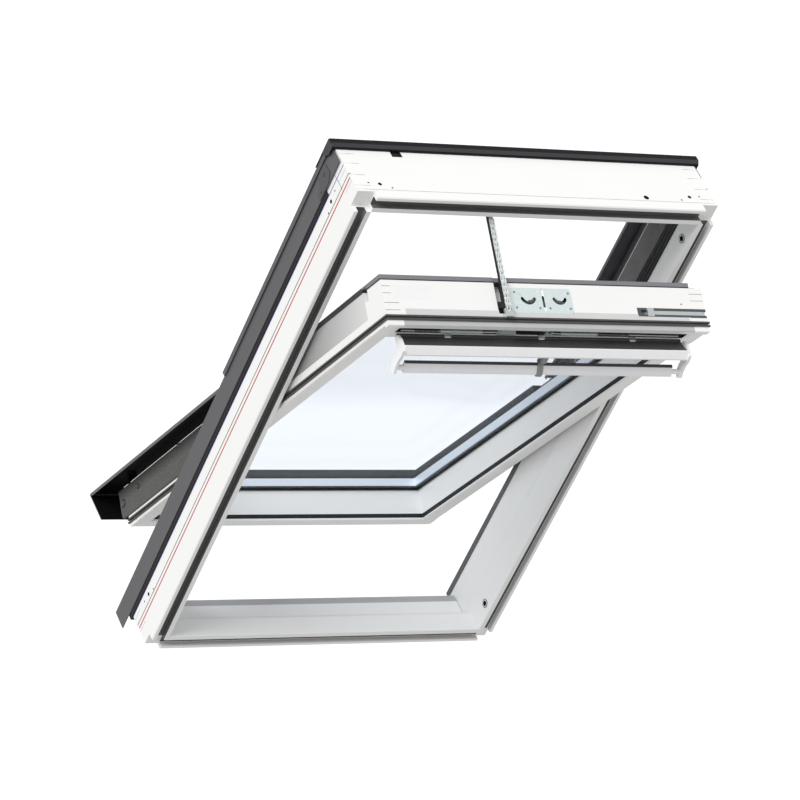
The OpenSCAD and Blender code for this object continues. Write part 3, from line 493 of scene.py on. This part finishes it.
# A thin black strip down the chain's left side: a dark sheet standing in for the shade along that side.
chain_stop = CHAIN_START + CHAIN_LENGTH
shade_strip = np.array([(CHAIN_START, -2.6), (chain_stop, -2.6), (chain_stop, 3.4), (CHAIN_START, 3.4)])
p, f = slab(shade_strip, -6.9, -6.3)
shade_strip_faces = len(f)
parts.append((np.column_stack([CHAIN_X + p[:, 2], p[:, 0], CHAIN_Z + p[:, 1]]), f))
points, faces = gather(parts)
chain = put_mesh("push_chain", on_sash(points), faces)
chain.data.materials.append(chain_steel)
chain.data.materials.append(rubber)
last = len(chain.data.polygons)
for polygon in chain.data.polygons[last - shade_strip_faces:]:
    polygon.material_index = 1
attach(chain, "frame")
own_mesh(chain)
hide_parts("chain")


# ---- Lock plate ----
# A pressed plate, zinc plated pale blue-green, screwed to the sash's top end over the
# pocket of the lock: two curved slots show the dark claws, a straight one the catch.
PLATE_LOW, PLATE_TOP = 542.05, 543.2
PLATE_CORNER, PLATE_EASE = 5.0, 0.15


def strip(rows):
    """Quads that join rows of n points each, given as an array (rows, n, 3); each row is closed."""
    r, n = rows.shape[:2]
    i, k = np.meshgrid(np.arange(r - 1), np.arange(n), indexing="ij")
    quads = np.stack([i * n + k, i * n + (k + 1) % n, (i + 1) * n + (k + 1) % n, (i + 1) * n + k], -1)
    return rows.reshape(-1, 3), [tuple(q) for q in quads.reshape(-1, 4)]


def arc_slot(cx, cy, radius, half, start, end, n=16):
    """Closed outline of a curved slot: the outer arc out, a round end, the inner arc back and
    a round end, at radius + half and radius - half from its centre, in degrees."""
    a = np.radians(np.linspace(start, end, n))
    cap = np.radians(np.linspace(0, 180, 8)[1:-1])
    out = np.column_stack([np.cos(a), np.sin(a)])
    rows = [out * (radius + half)]
    tip = out[-1] * radius
    beyond = (-out[-1, 1], out[-1, 0])
    rows.append(tip + half * (np.outer(np.cos(cap), out[-1]) + np.outer(np.sin(cap), beyond)))
    rows.append(out[::-1] * (radius - half))
    tip = out[0] * radius
    beyond = (-out[0, 1], out[0, 0])
    rows.append(tip + half * (np.outer(-np.cos(cap), out[0]) + np.outer(-np.sin(cap), beyond)))
    return np.vstack(rows) + (cx, cy)


def oblong(low, high, n=16, m=6):
    """Closed outline of a rectangle in the order of arc_slot: n points along the low side, m up
    the right side between corners, n back along the high side and m down the left."""
    u, v = np.linspace(0, 1, n), np.linspace(0, 1, m + 2)[1:-1]
    rows = [(u, 0 * u), (1 + 0 * v, v), (u[::-1], 1 + 0 * u), (0 * v, v[::-1])]
    unit = np.vstack([np.column_stack(r) for r in rows])
    return np.array(low, float) + unit * (np.array(high, float) - low)


def plate_cell(slot, low, high, corner_left, corner_right, bottom, top):
    """One part of the plate: closed rows from the slot's lower rim over the top face to the
    cell's outline and down. Outline points answer the slot's one by one, and its outer
    corners are cut back by arcs. The underside is left open."""
    edge = oblong(low, high)
    for x, sign, wanted in ((low[0], 1, corner_left), (high[0], -1, corner_right)):
        for y, up in ((low[1], 1), (high[1], -1)):
            centre = np.array([x + sign * PLATE_CORNER, y + up * PLATE_CORNER])
            off = edge - centre
            past = (off[:, 0] * sign < 0) & (off[:, 1] * up < 0) & wanted
            edge[past] = centre + off[past] / np.linalg.norm(off[past], axis=1, keepdims=True) * PLATE_CORNER
    ray = edge - slot
    ray /= np.linalg.norm(ray, axis=1, keepdims=True)
    shoulder = top - PLATE_EASE
    levels = [(slot, bottom), (slot, shoulder), (slot + ray * PLATE_EASE, top),
              (edge - ray * PLATE_EASE, top), (edge, shoulder), (edge, bottom)]
    rows = np.stack([np.column_stack([o, np.full(len(o), level)]) for o, level in levels])
    return strip(rows)


left_slot = arc_slot(-41.5, 104, 14.5, 3.2, 205, 335)
catch_slot = oblong((-12, 74), (-7, 117))
right_slot = arc_slot(26, 104, 13.5, 3.2, 205, 335)
cells = [plate_cell(left_slot, (-78, 70), (-20, 119), True, False, PLATE_LOW, PLATE_TOP),
         plate_cell(catch_slot, (-20, 70), (3, 119), False, False, PLATE_LOW, PLATE_TOP),
         plate_cell(right_slot, (3, 70), (52, 119), False, True, PLATE_LOW, PLATE_TOP)]
points, faces = gather(cells)
plate = put_mesh("lock_face", on_sash(points), faces)
plate.data.materials.append(bright_plate)
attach(plate, "sash")
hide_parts("lock_plate")

# The ends of the two claws stand in their curved slots.
claw_outline = np.array([(-7, -3), (-1, -4.5), (4, -2), (7, 2.5), (8.5, 6), (5, 6.5), (1, 2), (-7, 1)])
parts = []
for cx, cy, sign in ((-36.0, 93.5, 1), (21.0, 93.5, -1)):
    p, f = slab(claw_outline, 541.4, 544.2)
    placed = np.column_stack([cx + sign * p[:, 0], cy + p[:, 1], p[:, 2]])
    parts.append((placed, [face[::sign] for face in f]))
points, faces = gather(parts)
claws = put_mesh("claw_ends", on_sash(points), faces)
claws.data.materials.append(dull_steel)
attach(claws, "sash")


# ---- Latch rods ----
# The flap's latch works on two steel rods along the mouth of the duct, each with a
# sleeve and a coil spring, a moulded block on the left and a pressed fork on the right.
def sweep(path, radius, up, n=10):
    """A round section along a path: each ring is path + radius (cos a side + sin a lift), with
    side square to the path and to the given direction, and lift square to both."""
    path = np.asarray(path, float)
    along = np.gradient(path, axis=0)
    along /= np.linalg.norm(along, axis=1, keepdims=True)
    side = np.cross(np.asarray(up, float), along)
    side /= np.linalg.norm(side, axis=1, keepdims=True)
    lift = np.cross(along, side)
    a = np.linspace(0, 2 * math.pi, n, endpoint=False)
    rings = path[:, None] + radius * (np.cos(a)[:, None] * side[:, None] + np.sin(a)[:, None] * lift[:, None])
    points, faces = strip(rings)
    last = len(points) - n
    return points, faces + [tuple(range(n))[::-1], tuple(range(last, last + n))]


def coil(x0, x1, radius, wire, pitch, y, z):
    """A coil spring along X: (x, y + radius cos t, z + radius sin t), t turning once in each pitch."""
    t = np.linspace(0, 2 * math.pi * (x1 - x0) / pitch, int((x1 - x0) / pitch * 12))
    x = np.linspace(x0, x1, len(t))
    return sweep(np.column_stack([x, y + radius * np.cos(t), z + radius * np.sin(t)]), wire, (1, 0, 0), 6)


ROD_Y, ROD_Z = 46.0, 505.0


def rod_ends(x0, x1):
    return [(x0, ROD_Y, ROD_Z), ((x0 + x1) / 2, ROD_Y, ROD_Z), (x1, ROD_Y, ROD_Z)]


points, faces = gather([
    sweep(rod_ends(-300, -92), 1.4, (0, 0, 1)), sweep(rod_ends(17, 300), 1.4, (0, 0, 1)),
    sweep(rod_ends(-218, -130), 3.0, (0, 0, 1), 16), sweep(rod_ends(40, 118), 3.0, (0, 0, 1), 16)])
rods = put_mesh("latch_rods", on_sash(points), faces)
rods.data.materials.append(bright_plate)
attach(rods, "sash")
points, faces = gather([coil(x0, x1, 2.9, 0.55, 2.6, ROD_Y, ROD_Z) for x0, x1 in ((-272, -220), (122, 190))])
springs = put_mesh("latch_springs", on_sash(points), faces)
springs.data.materials.append(dull_steel)
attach(springs, "sash")
block = np.array([(-96, 501), (-59, 501), (-59, 508), (-63, 511.5), (-90, 511.5), (-96, 507)])
fork = np.array([(4, 500.5), (18, 500.5), (18, 514), (14.5, 514),
                 (14.5, 504.5), (7.5, 504.5), (7.5, 514), (4, 514)])
p, f = slab(block, 41.5, 50.0)
parts = [(p[:, [0, 2, 1]], [face[::-1] for face in f])]
p, f = slab(fork, 42.5, 45.0)
parts.append((p[:, [0, 2, 1]], [face[::-1] for face in f]))
points, faces = gather(parts)
latch = put_mesh("latch_front", on_sash(points), faces)
latch.data.materials.append(bright_plate)
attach(latch, "sash")


# ---- Rail screws ----
# Turned steel screws and one ring bolt on each of the sash's lower rails. Round each is a thin
# black disc that stands just proud of the rail, as painted shade of its well.
def turned(profile, y, z, side, n=20):
    """A turned shape on an axis along X: profile (radius, x) pairs revolved about the line
    (y, z): the points are (side x, y + r cos a, z + r sin a)."""
    profile = np.asarray(profile, float)
    a = np.linspace(0, 2 * math.pi, n, endpoint=False)
    r, x = profile[:, 0, None], profile[:, 1, None]
    rings = np.stack([side * (x + 0 * a), y + r * np.cos(a), z + r * np.sin(a)], -1)
    points, faces = strip(rings)
    last = len(points) - n
    faces = faces + [tuple(range(n))[::-1], tuple(range(last, last + n))]
    return points, (faces if side > 0 else [face[::-1] for face in faces])


screw_profile = [(3.0, 348.9), (3.0, 349.9), (2.4, 350.3), (1.5, 350.3), (1.2, 349.4), (0.2, 349.4)]
ring_profile = [(6.4, 349.0), (6.4, 350.6), (5.9, 351.1), (4.6, 351.1), (4.2, 350.4), (3.9, 349.4),
                (3.2, 349.2), (3.0, 350.6), (2.4, 350.9), (0.2, 350.9)]
well_shade_profile = [(5.6, 349.2), (5.6, 349.95), (0.2, 349.95)]
ring_well_shade = [(9.0, 349.0), (9.0, 349.95), (0.2, 349.95)]
PROUD = 0.35
UPPER_SCREW, LOWER_SCREW, RING_BOLT = (122, -289), (107, -478), (96, -550)


def raised(profile):
    return [(r, x + PROUD) for r, x in profile]


parts, well_shade_discs = [], []
for side in (-1, 1):
    parts += [turned(raised(screw_profile), *spot, side) for spot in (LOWER_SCREW, UPPER_SCREW)]
    parts += [turned(raised(ring_profile), *RING_BOLT, side, 28)]
    well_shade_discs += [turned(well_shade_profile, *spot, side) for spot in (LOWER_SCREW, UPPER_SCREW)]
    well_shade_discs += [turned(ring_well_shade, *RING_BOLT, side, 28)]
points, faces = gather(parts + well_shade_discs)
well_shade_faces = sum(len(f) for _, f in well_shade_discs)
screws = put_mesh("rail_screws", on_sash(points), faces)
screws.data.materials.append(dull_steel)
screws.data.materials.append(rubber)
for polygon in screws.data.polygons[len(faces) - well_shade_faces:]:
    polygon.material_index = 1
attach(screws, "sash")


# ---- Sash timber ----
# The same coated pine, four members round the glass; the top member is deep and holds
# the vent duct. Grooves round its edge carry the gasket.
# The flanks above the pivot carry painted shade: a gradient from dark grey low down to white further up.
shader, place, white, timber_sash = coated_timber("sash_timber_white")
x, depth, height = sash_axes(place)
side_shade = (depth > 0.076) * (x > 0.3465) * (height > 0.02)
up_side = height.make("ShaderNodeMapRange", {}, {"Value": height, "From Min": 0.16, "From Max": 0.50})
flank = tones(up_side + speckle(place, 8.0) * 0.1, (0.16, 0.16, 0.16), (0.66, 0.66, 0.655))
lead(over(side_shade, white, flank), shader, "Base Color")
wear(timber_sash, "sash_bottom", "sash_left", "sash_right")

# The top member: grey strips along its end, and painted shade inside the slots cut into it and inside the
# duct.
shader, place, white, timber_top = coated_timber("sash_top_white")
x, depth, height = sash_axes(place)
grey_wood = tones(speckle(place, 20.0), (0.44, 0.44, 0.445), (0.50, 0.50, 0.505))
end_face = height > 0.5402
low_strip = end_face * between(depth, 0.0400, 0.0507) * (x < 0.3135)
lip_strip = end_face * between(depth, 0.0603, 0.0733) * (x < 0.3060)
slots = between(height, 0.5225, 0.5416) * between(depth, 0.0640, 0.1275) * (x < 0.3466)
duct = between(height, 0.4997, 0.5303) * between(depth, 0.0445, 0.0965) * (x < 0.3115)
colour = over(low_strip, white, grey_wood)
colour = over(lip_strip, colour, tones(speckle(place, 20.0), (0.58, 0.58, 0.585), (0.64, 0.64, 0.645)))
colour = over(slots, colour, (0.02, 0.02, 0.022))
lead(over(duct, colour, (0.035, 0.035, 0.037)), shader, "Base Color")
wear(timber_top, "sash_top")


# ---- Glazing ----
# Two clear coated panes either side of a sealed gap, held apart by a grey spacer bar.
def clear_glass(name, tint, shine):
    """Clear pane: lets light straight through with a faint blue tint, a little deeper above a soft
    wide step in height that is a painted reflection, and mirrors a small even share of it."""
    material = bpy.data.materials.new(name)
    material.use_nodes = True
    tree = material.node_tree
    tree.nodes.remove(tree.nodes["Principled BSDF"])
    place = Value(tree.nodes.new("ShaderNodeTexCoord").outputs["Object"])
    x, depth, height = sash_axes(place)
    reflection_step = height.make("ShaderNodeMapRange", {"interpolation_type": "SMOOTHSTEP"},
                       {"Value": height + speckle(place, 2.0) * 0.2, "From Min": 0.02, "From Max": 0.12})
    deeper = tuple(0.972 * t for t in tint)
    through = place.make("ShaderNodeBsdfTransparent", {}, {"Color": tones(reflection_step, tint, deeper)})
    mirror = place.make("ShaderNodeBsdfGlossy", {}, {"Color": (0.95, 0.97, 1.0, 1.0), "Roughness": 0.02})
    share = speckle(place, 3.0, 1.0) * 0.02 + shine
    both = place.make("ShaderNodeMixShader", {}, {0: share, 1: through, 2: mirror})
    tree.links.new(both.socket, tree.nodes["Material Output"].inputs["Surface"])
    return material


wear(clear_glass("glass_outer", (0.962, 0.975, 0.990), 0.02), "pane_outer")
wear(clear_glass("glass_inner", (0.962, 0.975, 0.990), 0.02), "pane_inner")

# The bar is painted: blue-grey at its rim, then a dark line, then pale.
spacer_bar, shader, place = new_finish("spacer_bar", {"Metallic": 0.3})
x, depth, height = sash_axes(place)
rim = (x > 0.3085).maths("MAXIMUM", x > 0.3085, height < -0.5035)
line = (x > 0.3065).maths("MAXIMUM", x > 0.3065, height < -0.5015)
pale = tones(speckle(place, 150.0), (0.78, 0.84, 0.92), (0.86, 0.91, 0.97))
blue_grey = tones(speckle(place, 150.0), (0.42, 0.50, 0.53), (0.52, 0.60, 0.62))
lead(over(rim, over(line, pale, (0.006, 0.008, 0.02)), blue_grey), shader, "Base Color")
lead(speckle(place, 300.0) * 0.1 + 0.4, shader, "Roughness")
wear(spacer_bar, "glass_spacer")


# ---- Sash covers ----
# Lacquered sheet over the sash: a light strip along the top end, black strips beside
# the glass above the pivot. The wide covers below have their own dark lacquer, set above.
strip_paint, shader, place, grey = lacquer(
    "lacquer_light", (0.20, 0.195, 0.215), (0.25, 0.243, 0.265), {"Metallic": 0.2})
x, depth, height = sash_axes(place)
lead(over(depth < 0.1298, grey, (0.01, 0.01, 0.011)), shader, "Base Color")
wear(strip_paint, "sash_top_cover")
strip_black, shader, place, grey = lacquer(
    "lacquer_black", (0.035, 0.035, 0.037), (0.05, 0.05, 0.053), {"Metallic": 0.2})
lead(grey, shader, "Base Color")
wear(strip_black, "sash_side_strips")


# ---- Label and filter ----
# A blank film label on the top end of the sash, and the open foam filter in its duct.
label_film, shader, place = new_finish("label_film", {})
lead(tones(speckle(place, 60.0), (0.80, 0.80, 0.81), (0.86, 0.86, 0.86)), shader, "Base Color")
lead(speckle(place, 100.0) * 0.1 + 0.25, shader, "Roughness")
wear(label_film, "label_plate")

foam, shader, place = new_finish("filter_foam", {"Specular IOR Level": 0.1})
cells = place.make("ShaderNodeTexVoronoi", {}, {"Vector": place, "Scale": 900.0}, 0)
lead(tones(cells, (0.04, 0.04, 0.04), (0.11, 0.11, 0.11)), shader, "Base Color")
lead(cells * 0.1 + 0.85, shader, "Roughness")
lead(dent(cells, 0.9, 0.001), shader, "Normal")
wear(foam, "vent_filter")


# ---- Vent flap and control bar ----
# Powder-coated aluminium extrusions: the flap that shuts the vent, and the bar pulled
# to open it and then the window, on moulded ends and a middle bracket.
coat_white, shader, place = new_finish("powder_coat_white", {"Specular IOR Level": 0.5})
lead(tones(speckle(place, 50.0), (0.80, 0.80, 0.81), (0.86, 0.86, 0.87)), shader, "Base Color")
lead(speckle(place, 200.0) * 0.12 + 0.3, shader, "Roughness")
lead(dent(speckle(place, 2000.0), 0.15, 0.0002), shader, "Normal")
wear(coat_white, "bar_ends")

# The flap's plate behind its white edge strip is coarse and dark, like the duct.
flap_coat, shader, place = new_finish("flap_coat", {"Specular IOR Level": 0.4})
x, y, z = axes(place)
past_hinge = (y + 0.22536) * 0.99317 - (z - 0.99497) * 0.11667
coarse = speckle(place, 380.0, 5.0)
lead(over(past_hinge > -0.0320, tones(speckle(place, 50.0), (0.82, 0.82, 0.83), (0.88, 0.88, 0.89)),
          tones(coarse, (0.03, 0.03, 0.03), (0.11, 0.11, 0.108))), shader, "Base Color")
lead(coarse * 0.12 + 0.35, shader, "Roughness")
lead(dent(coarse * (past_hinge > -0.0320), 0.4, 0.0004), shader, "Normal")
wear(flap_coat, "vent_flap")

# The bar is painted dark along its top edge: painted shade.
bar_coat, shader, place = new_finish("bar_coat", {"Specular IOR Level": 0.5})
x, depth, height = sash_axes(place)
powder = tones(speckle(place, 50.0), (0.80, 0.80, 0.815), (0.86, 0.86, 0.875))
lead(over(height > 0.48085, powder, (0.05, 0.05, 0.055)), shader, "Base Color")
lead(speckle(place, 200.0) * 0.12 + 0.3, shader, "Roughness")
lead(dent(speckle(place, 2000.0), 0.15, 0.0002), shader, "Normal")
wear(bar_coat, "control_bar")
bracket_grey, shader, place = new_finish("bracket_grey", {"Metallic": 0.3})
lead(tones(speckle(place, 200.0), (0.22, 0.22, 0.22), (0.30, 0.30, 0.30)), shader, "Base Color")
lead(speckle(place, 300.0) * 0.1 + 0.4, shader, "Roughness")
wear(bracket_grey, "bar_bracket")
# Its lower half is a narrow arm that reaches round the front of the bar.
arm = np.array([(-35, -10.5), (-44, -13.5), (-55, -19.5), (-62.5, -26.5), (-63.4, -31), (-60, -33),
                (-57, -32.2), (-60.8, -29), (-58.5, -24.6), (-53, -22.4), (-44, -17.6), (-36, -15)])
p, f = slab(arm, -8.0, 4.0)
arm_points = np.column_stack([p[:, 2], 39.0 + p[:, 0], 498.0 + p[:, 1]])
hook = put_mesh("bar_arm", on_sash(arm_points), f)
hook.data.materials.append(bracket_grey)
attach(hook, "flap")
